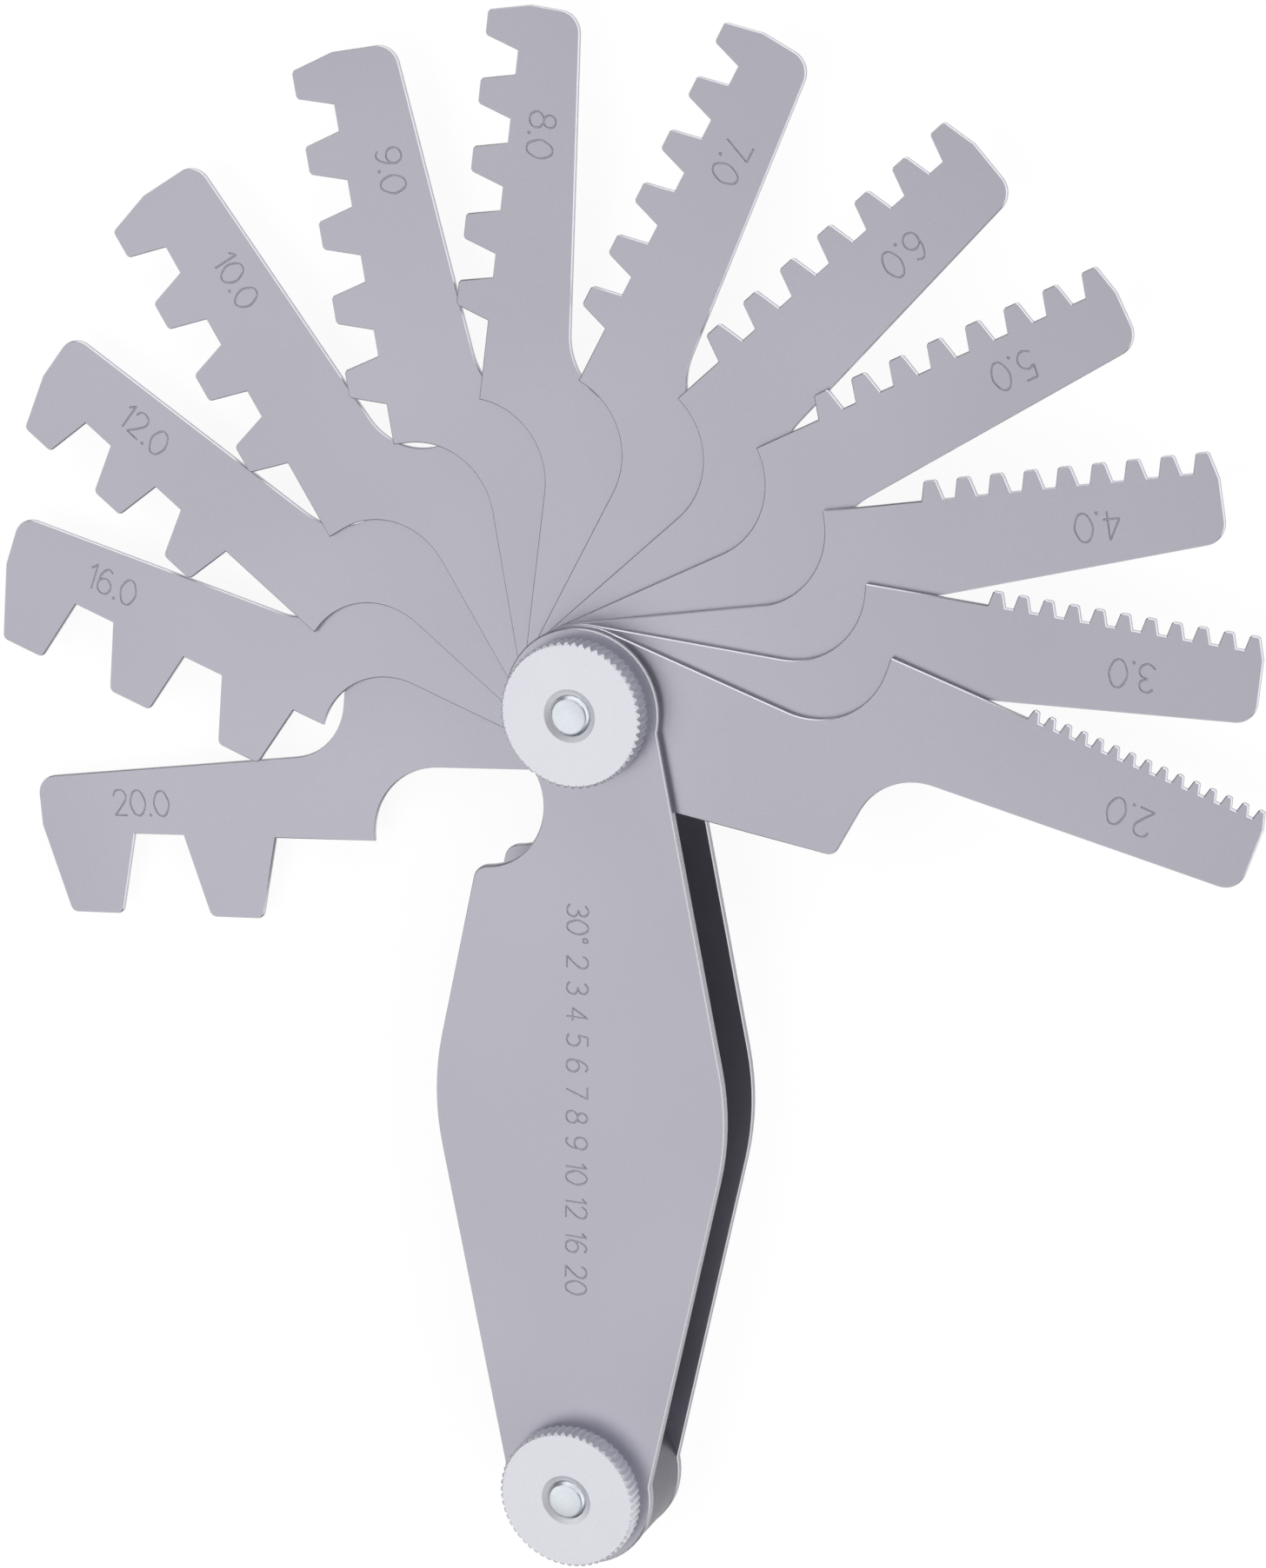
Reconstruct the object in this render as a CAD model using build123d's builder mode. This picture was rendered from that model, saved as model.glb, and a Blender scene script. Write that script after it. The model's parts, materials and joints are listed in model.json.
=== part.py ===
from build123d import *
from math import acos, atan2, cos, hypot, radians, sin, sqrt, tan
import os

# Thread pitch gauge for trapezoidal threads: twelve toothed leaves fan out on one stud
# between two covers. Millimetres. The gauge lies on its back: +Z runs along the pivot
# towards the reader, +Y runs from the end stud to the pivot, and the origin is on the
# pivot axis in the plane that the stud heads rest on.

# Covers
cover_thickness = 1.2
cover_corner_reach = 19.7  # from the centre line to the two side corners, before rounding
cover_corner_round = 35.0
cover_end_radius = 9.9
cover_taper_inset = 0.8  # the straight tapers lie this far inside the round ends
cover_edge_break = 0.2
stud_spacing = 100.4

# Thumb notch that bares the folded leaves, on the left edge just under the pivot
notch_radius = 8.2
notch_bearing = 224.1  # degrees round from +X, seen from the pivot
notch_lip_round = 2.0

# Studs and their clearances
stud_radius = 2.5
stud_rim_break = 0.4
stud_proud = 0.3  # how far a stud stands out of its nut
head_radius = 5.5
head_height = 1.2
head_edge_break = 0.3
fit_clearance = 0.05  # radial, in every hole that a stud passes

# Knurled nuts
nut_radius = 8.9
nut_height = 3.4
nut_seat_clearance = 0.02
knurl_count = 58
knurl_depth = 0.38
nut_sink_radius = 3.1
nut_sink_angle = 90.0

# Round spacer that keeps the covers apart at the end stud
spacer_inset = 0.1

# Blank that all leaves share: x runs from the pivot along the root line, y to the teeth
leaf_thickness = 0.66
leaf_clearance = 0.05
leaf_length = 80.0
leaf_eye_radius = 9.9
neck_length = 33.0
neck_round = 9.4
heel_length = 34.6
heel_round = 1.3
back_slope = 9.8  # degrees, from the eye to the heel
hook_reach = 36.7
hook_height = 8.4
hook_round = 8.0
tip_back_height = 12.3
tip_round = 2.6

# Tooth form of the 30 degree trapezoidal thread
flank_angle = 15.0
tooth_clearance = 0.25
coarse_clearance = 0.6
coarse_pitch = 14.0  # above this pitch the teeth have the coarse clearance
tooth_depth_share = 0.5
crest_width_share = 0.366
crest_round = 0.2
crest_round_share = 0.04
rounded_pitch = 9.5  # finer teeth than this have flat broken corners instead
flank_drop = 0.85  # the tip's own flank leaves the end line this far under the root line

# The leaves from the front to the back: mark, pitch, start of the teeth as a share of the
# neck's length, root line and place in the fan
leaf_marks = ("02", "03", "04", "05", "06", "07", "08", "09", "10", "12", "16", "20")
coarsest_pitch = 20.0
pitch_shares = (0.1, 0.15, 0.2, 0.25, 0.3, 0.35, 0.4, 0.45, 0.5, 0.6, 0.8, 1.0)
row_start_shares = (1.5, 1.42, 1.3, 1.12, 1.12, 1.12, 1.12, 1.12, 1.12, 1.12, 1.12, 1.12)
root_height = 20.4
root_shares = (1.04, 1.01, 0.995, 0.955, 1.0, 0.97, 0.955, 1.045, 1.06, 0.99, 0.98, 0.955)
fan_angles = (-18.35, -4.4, 10.4, 27.4, 42.9, 62.7, 83.2, 100.5, 122.4, 142.7, 160.6, 185.0)

# One overrun for every through cut
cut_overrun = 1.0

# Heights worked out from the stack
leaf_step = leaf_thickness + leaf_clearance
bay_height = len(leaf_marks) * leaf_step + leaf_clearance
rear_cover_base = head_height
bay_base = rear_cover_base + cover_thickness
front_cover_base = bay_base + bay_height
front_cover_top = front_cover_base + cover_thickness
nut_base = front_cover_top + nut_seat_clearance
nut_top = nut_base + nut_height
stud_top = nut_top + stud_proud

# Places worked out in the plane of the covers
stud_hole_radius = stud_radius + fit_clearance
end_stud_place = (0, -stud_spacing)
half_spacing = stud_spacing / 2
corner_distance = hypot(cover_corner_reach, half_spacing)
corner_bearing = atan2(half_spacing, cover_corner_reach)
taper_reach = cover_end_radius - cover_taper_inset
taper = acos(taper_reach / corner_distance) - corner_bearing

os.makedirs("parts", exist_ok=True)


def cover_outline():
    """Face of a cover: two round ends, straight tapers to the side corners, thumb notch."""
    end_x = taper_reach * cos(taper)
    end_y = taper_reach * sin(taper)
    notch_distance = cover_end_radius + notch_radius
    notch_x = notch_distance * cos(radians(notch_bearing))
    notch_y = notch_distance * sin(radians(notch_bearing))

    # Foot of the notch's centre on the left taper, and the lip where the notch ends there
    off_taper = -notch_x * cos(taper) + notch_y * sin(taper) - taper_reach
    foot_x = notch_x + off_taper * cos(taper)
    foot_y = notch_y - off_taper * sin(taper)
    half_chord = sqrt(notch_radius**2 - off_taper**2)
    lip = (foot_x - half_chord * sin(taper), foot_y - half_chord * cos(taper))

    corners = (
        (0, 0),
        (end_x, end_y),
        (cover_corner_reach, -half_spacing),
        (end_x, -stud_spacing - end_y),
        (-end_x, -stud_spacing - end_y),
        (-cover_corner_reach, -half_spacing),
        (foot_x, foot_y),
        (notch_x, notch_y),
    )
    rounds = (0, 0, cover_corner_round, 0, 0, cover_corner_round, 0, 0)
    with BuildSketch(mode=Mode.PRIVATE) as outline:
        with BuildLine():
            FilletPolyline(*corners, radius=rounds, close=True)
        make_face()
        with Locations((0, 0), end_stud_place):
            Circle(cover_end_radius)
        with Locations((notch_x, notch_y)):
            Circle(notch_radius, mode=Mode.SUBTRACT)
        lip_vertex = outline.vertices().sort_by_distance(lip)[0]
        fillet(lip_vertex, notch_lip_round)
        with Locations((0, 0), end_stud_place):
            Circle(stud_hole_radius, mode=Mode.SUBTRACT)
    return outline.sketch


# Front cover
with BuildPart() as front_cover:
    with BuildSketch(Plane.XY.offset(front_cover_base)):
        add(cover_outline())
    extrude(amount=cover_thickness)
    front_rim = front_cover.faces().sort_by(Axis.Z)[-1].outer_wire().edges()
    chamfer(front_rim, cover_edge_break)
front_cover.part.label = "front_cover"
export_step(front_cover.part, "parts/front_cover.step")

# Rear cover, the same plate with its broken edge at the back
with BuildPart() as rear_cover:
    with BuildSketch(Plane.XY.offset(rear_cover_base)):
        add(cover_outline())
    extrude(amount=cover_thickness)
    rear_rim = rear_cover.faces().sort_by(Axis.Z)[0].outer_wire().edges()
    chamfer(rear_rim, cover_edge_break)
rear_cover.part.label = "rear_cover"
export_step(rear_cover.part, "parts/rear_cover.step")

# Spacer between the covers, a plain collar a little smaller than their round ends
with BuildPart() as end_spacer:
    with BuildSketch(Plane.XY.offset(bay_base)):
        with Locations(end_stud_place):
            Circle(cover_end_radius - spacer_inset)
            Circle(stud_hole_radius, mode=Mode.SUBTRACT)
    extrude(amount=bay_height)
end_spacer.part.label = "end_spacer"
export_step(end_spacer.part, "parts/end_spacer.step")


def make_stud(name, place):
    """Stud with a low round head under the rear cover and a broken rim above the nut."""
    with BuildPart() as stud:
        with BuildSketch():
            with Locations(place):
                Circle(head_radius)
        extrude(amount=head_height)
        head_edges = stud.edges().filter_by(GeomType.CIRCLE)
        chamfer(head_edges.sort_by(Axis.Z)[0], head_edge_break)
        with BuildSketch(Plane.XY.offset(head_height)):
            with Locations(place):
                Circle(stud_radius)
        extrude(amount=stud_top - head_height)
        rim_edges = stud.edges().filter_by(GeomType.CIRCLE)
        chamfer(rim_edges.sort_by(Axis.Z)[-1], stud_rim_break)
    stud.part.label = name
    export_step(stud.part, f"parts/{name}.step")


def make_nut(name, place):
    """Round nut with straight knurls and a countersink round its stud."""
    with BuildPart() as nut:
        with BuildSketch(Plane.XY.offset(nut_base)):
            with Locations(place):
                Circle(nut_radius)
        extrude(amount=nut_height)
        with BuildSketch(Plane.XY.offset(nut_base - cut_overrun)):
            with Locations(place):
                with PolarLocations(nut_radius, knurl_count):
                    RegularPolygon(knurl_depth, 4)
        extrude(amount=nut_height + 2 * cut_overrun, mode=Mode.SUBTRACT)
        with Locations((place[0], place[1], nut_top)):
            CounterSinkHole(stud_hole_radius, nut_sink_radius, counter_sink_angle=nut_sink_angle)
    nut.part.label = name
    export_step(nut.part, f"parts/{name}.step")


for end_name, end_place in (("pivot", (0, 0)), ("end", end_stud_place)):
    make_stud(f"{end_name}_stud", end_place)
    make_nut(f"{end_name}_nut", end_place)


def tooth_corners(pitch, root, row_start):
    """Corners and rounds of the teeth that fit between the row's start and the tip."""
    lean = tan(radians(flank_angle))
    clearance = coarse_clearance if pitch > coarse_pitch else tooth_clearance
    depth = tooth_depth_share * pitch + clearance
    crest = root + depth
    crest_width = crest_width_share * pitch
    corner_round = crest_round + crest_round_share * pitch
    corner_break = corner_round / 2
    tip_crest = leaf_length - (depth + flank_drop) * lean
    tip_root = tip_crest - crest_width - depth * lean
    teeth = 1 + int((tip_root - row_start) / pitch)
    corners = []
    for tooth in reversed(range(teeth)):
        outer = tip_crest - tooth * pitch
        inner = outer - crest_width
        corners.append(((inner - depth * lean, root), 0))
        if pitch < rounded_pitch:
            corners.append(((inner - corner_break * lean, crest - corner_break), 0))
            corners.append(((inner + corner_break, crest), 0))
            corners.append(((outer - corner_break, crest), 0))
            corners.append(((outer + corner_break * lean, crest - corner_break), 0))
        else:
            corners.append(((inner, crest), corner_round))
            corners.append(((outer, crest), corner_round))
        if tooth:
            corners.append(((outer + depth * lean, root), 0))
    corners.append(((leaf_length, root - flank_drop), 0))
    return corners


def leaf_corners(pitch, root, row_start):
    """Corners and rounds of a leaf's outline: eye, neck, teeth, tip, back, hook and heel."""
    slope = radians(back_slope)
    eye_x = leaf_eye_radius * sin(slope)
    eye_y = -leaf_eye_radius * cos(slope)
    heel_y = eye_y + (heel_length - eye_x) * tan(slope)
    corners = [((0, leaf_eye_radius), 0), ((neck_length, leaf_eye_radius), neck_round)]
    corners.append(((neck_length, root), 0))
    corners.extend(tooth_corners(pitch, root, row_start))
    corners.append(((leaf_length, tip_back_height), tip_round))
    corners.append(((hook_reach, hook_height), hook_round))
    corners.append(((heel_length, heel_y), heel_round))
    corners.append(((eye_x, eye_y), 0))
    return corners


# Leaves, the finest pitch in front
leaf_rows = zip(leaf_marks, pitch_shares, row_start_shares, root_shares, fan_angles)
for place, leaf_row in enumerate(leaf_rows, start=1):
    mark, pitch_share, row_start_share, root_share, fan_angle = leaf_row
    pitch = pitch_share * coarsest_pitch
    row_start = row_start_share * neck_length
    corners = leaf_corners(pitch, root_share * root_height, row_start)
    points = [point for point, rounding in corners]
    rounds = [rounding for point, rounding in corners]
    leaf_base = front_cover_base - place * leaf_step
    with BuildPart() as leaf:
        with BuildSketch(Plane.XY.offset(leaf_base).rotated((0, 0, fan_angle))):
            with BuildLine():
                FilletPolyline(*points, radius=rounds, close=True)
            make_face()
            Circle(leaf_eye_radius)
            Circle(stud_hole_radius, mode=Mode.SUBTRACT)
        extrude(amount=leaf_thickness)
    leaf.part.label = f"leaf_{mark}"
    export_step(leaf.part, f"parts/leaf_{mark}.step")
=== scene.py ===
"""Looks of a folding thread pitch gauge: satin steel leaves and covers with engraved
numbers, knurled aluminium nuts and zinc plated studs, on a pale floor."""

import json
import math

import bmesh
import bpy
from bpy.props import FloatProperty, FloatVectorProperty, IntProperty, PointerProperty
from bpy.props import StringProperty
from mathutils import Matrix, Vector

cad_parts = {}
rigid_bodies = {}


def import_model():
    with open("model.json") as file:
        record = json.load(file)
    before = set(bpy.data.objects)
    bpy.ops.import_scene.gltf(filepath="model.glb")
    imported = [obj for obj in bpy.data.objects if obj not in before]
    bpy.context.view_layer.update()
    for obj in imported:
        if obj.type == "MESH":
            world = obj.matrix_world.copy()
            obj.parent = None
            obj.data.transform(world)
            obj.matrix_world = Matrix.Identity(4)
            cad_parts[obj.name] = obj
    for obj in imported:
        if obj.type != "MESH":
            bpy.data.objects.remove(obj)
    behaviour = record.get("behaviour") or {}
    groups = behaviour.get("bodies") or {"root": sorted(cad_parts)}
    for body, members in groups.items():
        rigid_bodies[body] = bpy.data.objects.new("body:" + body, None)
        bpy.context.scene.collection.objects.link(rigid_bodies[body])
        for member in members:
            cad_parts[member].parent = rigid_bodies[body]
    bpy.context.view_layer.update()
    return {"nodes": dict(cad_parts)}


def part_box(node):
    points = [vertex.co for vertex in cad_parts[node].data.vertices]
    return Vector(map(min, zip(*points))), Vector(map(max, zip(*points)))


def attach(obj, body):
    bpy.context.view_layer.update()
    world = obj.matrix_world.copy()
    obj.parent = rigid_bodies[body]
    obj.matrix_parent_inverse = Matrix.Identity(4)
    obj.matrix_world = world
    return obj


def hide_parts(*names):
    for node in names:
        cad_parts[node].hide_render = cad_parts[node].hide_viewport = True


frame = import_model()

bl_info = {
    "name": "Thread pitch gauge",
    "version": (1, 0, 0),
    "blender": (4, 5, 0),
    "location": "3D View > Sidebar > Pitch gauge",
    "description": "Dresses the packed model of a folding thread pitch gauge",
    "category": "Object",
}

MM = 0.001

# The leaves from the front to the back: node mark, engraved number and place in the fan
LEAF_MARKS = ("02", "03", "04", "05", "06", "07", "08", "09", "10", "12", "16", "20")
LEAF_NUMBERS = tuple(f"{int(mark)}.0" for mark in LEAF_MARKS)
LEAF_DEGREES = (-18.35, -4.4, 10.4, 27.4, 42.9, 62.7, 83.2, 100.5, 122.4, 142.7, 160.6, 185.0)
COVER_NUMBERS = "30° 2 3 4 5 6 7 8 9 10 12 16 20"

# Middle of a leaf's number, from the pivot along and across the leaf
LEAF_NUMBER_PLACE = (65.4, 15.4)
# Start of the cover's row of numbers, at its baseline
COVER_ROW_START = (-1.6, -24.2)

# Camera: place in millimetres, turns about X, Y and Z in degrees, and lens
CAMERA_PLACE = (189.20, 130.18, 474.08)
CAMERA_TURNS = (-16.70, 20.72, 6.54)
CAMERA_LENS = 100.04
# The way from the gauge to the middle of the low window, and how bright it is
WINDOW_PLACE = (0.79, 0.61, 0.0)
WINDOW_LIGHT = 1.9
# What the camera sees behind the table
BACKDROP_LIGHT = 1.1
# The table's own white, and its share in what the camera sees and the metal mirrors
FLOOR_GLOW = 1.23
FLOOR_SEEN = 0.72
FLOOR_MIRRORED = 0.45
# Width of the round key light in metres
KEY_WIDTH = 0.9

# UV map along and across a sheet, in metres, and how far it moves for each degree of the
# fan, so that each leaf starts elsewhere in the pattern and no two look alike
GRAIN_MAP = "grain"
GRAIN_SHIFT = 0.013
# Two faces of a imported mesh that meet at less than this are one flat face
FLAT_ANGLE = math.radians(0.5)
# Two faces that meet at more than this keep a sharp edge between them
SMOOTH_ANGLE = math.radians(15)
# Change of the normal's Z over an edge round a flat sheet's face
EDGE_TURN = 0.7
# The normal's Z is above the first number on a sheet's flat face, and below the second on
# the knurled side of a nut
FLAT_FACE = 0.98
WALL_FACE = 0.5
# Points closer than these are one: in a packed or turned mesh, and at a wrapped grid's seam
MERGE_DISTANCE = 0.0005 * MM
SEAM_DISTANCE = 0.001 * MM

# Sides of the engraver's round bit, and its steps along a stroke
BIT_SIDES = 24
ENGRAVER_STEP = 0.12 * MM
# Points along and round the turned pieces
NUT_STATIONS = 10
COLUMNS_PER_RIDGE = 12
HEAD_STATIONS = 6
STUD_COLUMNS = 64
STEPS_PER_TURN = 16
# Broken corner round a nut's face, and its fall at the rim and at the countersink
NUT_CORNER = 0.09 * MM
RIM_DROP = 0.8 * NUT_CORNER
SINK_DROP = 0.4 * NUT_CORNER

# Single strokes of the engraver's figures: x and y as shares of the figure's height.
# R is a stroke drawn round through its points, S a straight one and C a closed round one.
STROKES = {
    "0": (("C", ((0, 0.3), (0, 0.7), (0.28, 1), (0.56, 0.7), (0.56, 0.3), (0.28, 0))),),
    "1": (("S", ((0.04, 0.78), (0.24, 1), (0.24, 0))),),
    "2": (
        (
            "R",
            (
                (0, 0.76),
                (0.08, 0.93),
                (0.28, 1),
                (0.49, 0.9),
                (0.53, 0.68),
                (0.38, 0.42),
                (0.02, 0),
            ),
        ),
        ("S", ((0.02, 0), (0.56, 0))),
    ),
    "3": (
        ("R", ((0.02, 0.86), (0.24, 1), (0.48, 0.88), (0.48, 0.65), (0.24, 0.53))),
        ("R", ((0.24, 0.53), (0.5, 0.43), (0.55, 0.2), (0.29, 0), (0, 0.14))),
    ),
    "4": (("S", ((0.42, 0), (0.42, 1), (0, 0.28), (0.58, 0.28))),),
    "5": (
        ("S", ((0.5, 1), (0.1, 1), (0.05, 0.56))),
        ("R", ((0.05, 0.56), (0.3, 0.64), (0.55, 0.34), (0.34, 0.02), (0, 0.12))),
    ),
    "6": (
        ("R", ((0.5, 0.92), (0.3, 1), (0.08, 0.76), (0, 0.3))),
        ("C", ((0, 0.3), (0.28, 0), (0.56, 0.3), (0.28, 0.6))),
    ),
    "7": (("S", ((0, 1), (0.56, 1), (0.2, 0))),),
    "8": (
        ("C", ((0.28, 0.54), (0.06, 0.77), (0.28, 1), (0.5, 0.77))),
        ("C", ((0.28, 0.54), (0, 0.27), (0.28, 0), (0.56, 0.27))),
    ),
    "9": (
        ("R", ((0.06, 0.08), (0.26, 0), (0.48, 0.24), (0.56, 0.7))),
        ("C", ((0.56, 0.7), (0.28, 1), (0, 0.7), (0.28, 0.4))),
    ),
    ".": (("C", ((0.03, 0), (0, 0.03), (0.03, 0.06), (0.06, 0.03))),),
    "°": (("C", ((0.1, 0.76), (0, 0.87), (0.1, 0.98), (0.2, 0.87))),),
}
FIGURE_WIDTHS = {"1": 0.24, ".": 0.06, "°": 0.2, " ": 0.24}
FIGURE_WIDTH = 0.56
FIGURE_GAP = 0.2


def hex_colour(code):
    """Linear RGBA of an sRGB hex code."""
    values = [int(code[start : start + 2], 16) / 255 for start in (1, 3, 5)]
    linear = [v / 12.92 if v <= 0.04045 else ((v + 0.055) / 1.055) ** 2.4 for v in values]
    return (*linear, 1.0)


def add_node(tree, kind, values=(), links=(), **settings):
    """Adds a node, sets what it is, its sockets' values and the links into it."""
    node = tree.nodes.new(kind)
    for key, value in settings.items():
        setattr(node, key, value)
    for socket, value in dict(values).items():
        node.inputs[socket].default_value = value
    for socket, source in dict(links).items():
        tree.links.new(source, node.inputs[socket])
    return node


def feed(tree, socket, source):
    """Gives a socket its source, which is another node's output or a plain value."""
    if isinstance(source, bpy.types.NodeSocket):
        tree.links.new(source, socket)
    else:
        socket.default_value = source


def new_material(name):
    """Empty node material and its output node."""
    material = bpy.data.materials.new(name)
    material.use_nodes = True
    material.node_tree.nodes.clear()
    output = add_node(material.node_tree, "ShaderNodeOutputMaterial")
    return material, material.node_tree, output


def ramp(tree, factor, stops):
    """Colour ramp whose stops are pairs of a place and a linear colour."""
    node = add_node(tree, "ShaderNodeValToRGB", links={"Fac": factor})
    elements = node.color_ramp.elements
    while len(elements) < len(stops):
        elements.new(0.5)
    for element, (place, colour) in zip(elements, stops):
        element.position = place
        element.color = colour
    return node.outputs["Color"]


def grey(value):
    """Linear RGBA of a grey, which may be brighter than white."""
    return (value, value, value, 1.0)


def grey_ramp(tree, factor, stops):
    """Colour ramp whose stops are pairs of a place and a brightness."""
    return ramp(tree, factor, [(place, grey(value)) for place, value in stops])


def noise_along(tree, coordinates, scale, detail=2.0, roughness=0.5):
    """Noise on coordinates in metres, stretched by the cells that a metre holds per axis."""
    mapping = add_node(
        tree, "ShaderNodeMapping", values={"Scale": scale}, links={"Vector": coordinates}
    )
    noise = add_node(
        tree,
        "ShaderNodeTexNoise",
        values={"Scale": 1.0, "Detail": detail, "Roughness": roughness},
        links={"Vector": mapping.outputs["Vector"]},
    )
    return noise.outputs["Fac"]


def mix_colour(tree, factor, first, second, blend="MIX"):
    """Mixes two colours, each a linear colour or a socket, by a number or a socket."""
    node = add_node(tree, "ShaderNodeMix", data_type="RGBA", blend_type=blend)
    for name, source in (("Factor_Float", factor), ("A_Color", first), ("B_Color", second)):
        feed(tree, next(s for s in node.inputs if s.identifier == name), source)
    return next(s for s in node.outputs if s.identifier == "Result_Color")


def scale_to(tree, source, low, high):
    """Maps a value from 0 to 1 onto a range."""
    node = add_node(
        tree,
        "ShaderNodeMapRange",
        values={"To Min": low, "To Max": high},
        links={"Value": source},
    )
    return node.outputs["Result"]


def satin_steel(name, colour_code):
    """Cold rolled spring steel, ground and then satin finished."""
    material, tree, output = new_material(name)
    # The grain map holds the piece's own length and width in metres, so that the
    # grinding runs along every leaf, whichever way it lies in the fan.
    along = add_node(tree, "ShaderNodeUVMap", uv_map=GRAIN_MAP).outputs["UV"]
    around = add_node(tree, "ShaderNodeTexCoord").outputs["Object"]
    # Grinding lines are about 0.02 mm apart, too fine to show, so they are drawn as
    # streaks 0.25 mm wide and 6 mm long; the clouds are 30 mm across.
    streaks = noise_along(tree, along, (160, 4000, 1), detail=3.0)
    clouds = noise_along(tree, around, (33, 33, 900), detail=1.0)
    speckle = noise_along(tree, around, (5000, 5000, 5000), detail=1.0)
    base = hex_colour(colour_code)
    darker = tuple(0.975 * v for v in base[:3]) + (1.0,)
    lighter = tuple(min(1.0, 1.025 * v) for v in base[:3]) + (1.0,)
    clouded = ramp(tree, clouds, ((0.3, darker), (0.7, lighter)))
    streaked = mix_colour(tree, 0.045, clouded, streaks, "OVERLAY")
    speckled = mix_colour(tree, 0.05, streaked, speckle, "OVERLAY")
    shine = scale_to(tree, streaks, 0.38, 0.44)
    bump = add_node(
        tree,
        "ShaderNodeBump",
        values={"Strength": 0.02, "Distance": 0.02 * MM},
        links={"Height": streaks},
    )
    steel = add_node(
        tree,
        "ShaderNodeBsdfPrincipled",
        values={"Metallic": 1.0},
        links={"Base Color": speckled, "Roughness": shine, "Normal": bump.outputs["Normal"]},
    )
    tree.links.new(steel.outputs["BSDF"], output.inputs["Surface"])
    return material


def sheared_edge_steel(name, dark_code, light_code):
    """Sheared and deburred edge of the same sheet, smoother than its face. Its colour is painted
    light: lighter on the leaves as a painted highlight of their bright edge lines, darker on the
    covers as painted shade.
    """
    material, tree, output = new_material(name)
    around = add_node(tree, "ShaderNodeTexCoord").outputs["Object"]
    # Shear marks run across the sheet's thickness, about 0.15 mm apart
    marks = noise_along(tree, around, (6500, 6500, 300), detail=1.0)
    colour = ramp(tree, marks, ((0.3, hex_colour(dark_code)), (0.7, hex_colour(light_code))))
    steel = add_node(
        tree,
        "ShaderNodeBsdfPrincipled",
        values={"Metallic": 1.0},
        links={"Base Color": colour, "Roughness": scale_to(tree, marks, 0.28, 0.34)},
    )
    tree.links.new(steel.outputs["BSDF"], output.inputs["Surface"])
    return material


def groove_steel(name, colour_code):
    """Burnished wall of an engraved groove, smoother than the ground face, and painted darker as
    shade in the recess.
    """
    material, tree, output = new_material(name)
    steel = add_node(
        tree,
        "ShaderNodeBsdfPrincipled",
        values={"Metallic": 1.0, "Base Color": hex_colour(colour_code), "Roughness": 0.32},
    )
    tree.links.new(steel.outputs["BSDF"], output.inputs["Surface"])
    return material


def rolled_knurl(name, colour_code):
    """Crushed surface of a rolled aluminium knurl, rougher than the turned face."""
    material, tree, output = new_material(name)
    around = add_node(tree, "ShaderNodeTexCoord").outputs["Object"]
    # The crushed grains are 0.17 mm across
    grains = noise_along(tree, around, (6000, 6000, 6000))
    metal = add_node(
        tree,
        "ShaderNodeBsdfPrincipled",
        values={"Metallic": 1.0, "Base Color": hex_colour(colour_code)},
        links={"Roughness": scale_to(tree, grains, 0.55, 0.65)},
    )
    tree.links.new(metal.outputs["BSDF"], output.inputs["Surface"])
    return material


def turned_metal(name, centre, dark_code, light_code, low_shine, high_shine):
    """Metal faced on a lathe, with fine rings round the piece's axis."""
    material, tree, output = new_material(name)
    around = add_node(tree, "ShaderNodeTexCoord").outputs["Object"]
    centred = add_node(
        tree,
        "ShaderNodeMapping",
        values={"Location": (-centre[0], -centre[1], 0)},
        links={"Vector": around},
    )
    flat = add_node(
        tree,
        "ShaderNodeVectorMath",
        values={1: (1, 1, 0)},
        links={0: centred.outputs["Vector"]},
        operation="MULTIPLY",
    )
    radius = add_node(
        tree, "ShaderNodeVectorMath", links={0: flat.outputs["Vector"]}, operation="LENGTH"
    )
    ring_place = add_node(
        tree, "ShaderNodeCombineXYZ", links={"X": radius.outputs["Value"]}
    ).outputs["Vector"]
    # Turning marks are 0.05 mm apart on the real face and 0.2 mm here, so that they show
    rings = noise_along(tree, ring_place, (5000, 1, 1), detail=3.0, roughness=0.7)
    frost = noise_along(tree, around, (3500, 3500, 3500))
    clouds = noise_along(tree, around, (260, 260, 260))
    mixed = mix_colour(tree, 0.35, rings, frost)
    colour = ramp(tree, mixed, ((0.3, hex_colour(dark_code)), (0.7, hex_colour(light_code))))
    clouded = mix_colour(tree, 0.12, colour, clouds, "OVERLAY")
    bump = add_node(
        tree,
        "ShaderNodeBump",
        values={"Strength": 0.12, "Distance": 0.02 * MM},
        links={"Height": rings},
    )
    metal = add_node(
        tree,
        "ShaderNodeBsdfPrincipled",
        values={"Metallic": 1.0},
        links={
            "Base Color": clouded,
            "Roughness": scale_to(tree, mixed, low_shine, high_shine),
            "Normal": bump.outputs["Normal"],
        },
    )
    tree.links.new(metal.outputs["BSDF"], output.inputs["Surface"])
    return material


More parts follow.
